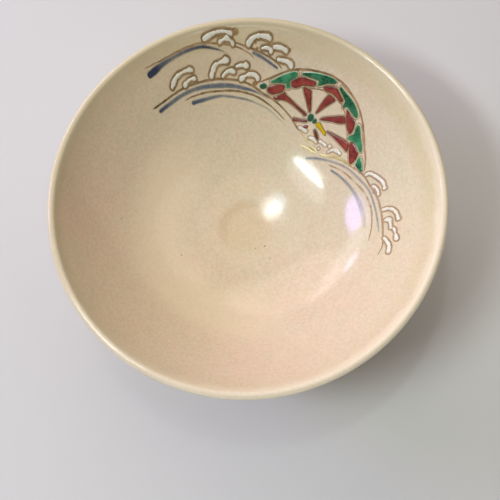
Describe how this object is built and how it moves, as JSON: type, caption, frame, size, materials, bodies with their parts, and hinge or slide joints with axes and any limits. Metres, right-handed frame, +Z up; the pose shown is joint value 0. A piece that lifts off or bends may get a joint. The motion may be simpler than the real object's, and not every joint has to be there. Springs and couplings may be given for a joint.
{
  "type": "tea bowl",
  "caption": "Shallow round ceramic tea bowl on a low foot ring, cream glazed, with raised enamel waves and a half-sunken cart wheel inside one side of the wall.",
  "frame": {"origin": "middle of the circle that the foot ring stands on", "axes": "+Z up along the bowl's axis; the enamel picture lies on the +X +Y side, its upper wave at +Y"},
  "size_m": [0.15, 0.15, 0.058],
  "materials": {
    "clay": "bare, matte",
    "cream_glaze": "satin, finely crackled",
    "white_enamel": "gloss, raised",
    "green_enamel": "gloss, raised",
    "red_enamel": "semi-gloss, raised",
    "yellow_enamel": "gloss, raised",
    "iron_line": "semi-gloss line",
    "cobalt_stroke": "underglaze",
    "gold_line": "thin fired gilding"
  },
  "bodies": {
    "root": {"clay_body": "clay", "foot_ring": "clay", "glaze_coat": "cream_glaze", "left_foam_1": "white_enamel", "left_foam_2": "white_enamel", "left_foam_3": "white_enamel", "left_foam_4": "white_enamel", "left_foam_5": "white_enamel", "left_foam_6": "white_enamel", "left_foam_7": "white_enamel", "left_foam_8": "white_enamel", "left_foam_9": "white_enamel", "left_foam_10": "white_enamel", "left_foam_11": "white_enamel", "left_foam_12": "white_enamel", "right_foam_1": "white_enamel", "right_foam_2": "white_enamel", "right_foam_3": "white_enamel", "right_foam_4": "white_enamel", "right_foam_5": "white_enamel", "right_foam_6": "white_enamel", "wheel_foam_1": "white_enamel", "wheel_foam_2": "white_enamel", "wheel_foam_3": "white_enamel", "wheel_foam_4": "white_enamel", "wheel_foam_5": "white_enamel", "wheel_foam_6": "white_enamel", "outer_felloe_1": "green_enamel", "outer_felloe_2": "green_enamel", "outer_felloe_3": "green_enamel", "outer_felloe_4": "green_enamel", "outer_felloe_5": "green_enamel", "outer_felloe_6": "green_enamel", "inner_felloe_1": "red_enamel", "inner_felloe_2": "red_enamel", "inner_felloe_3": "red_enamel", "inner_felloe_4": "red_enamel", "inner_felloe_5": "red_enamel", "spoke_1": "red_enamel", "spoke_2": "red_enamel", "spoke_3": "red_enamel", "spoke_4": "red_enamel", "spoke_5": "red_enamel", "spoke_6": "red_enamel", "spoke_7": "red_enamel", "spoke_8": "red_enamel", "wheel_hub": "green_enamel", "hub_cap": "green_enamel", "axle": "yellow_enamel"}
  },
  "joints": []
}
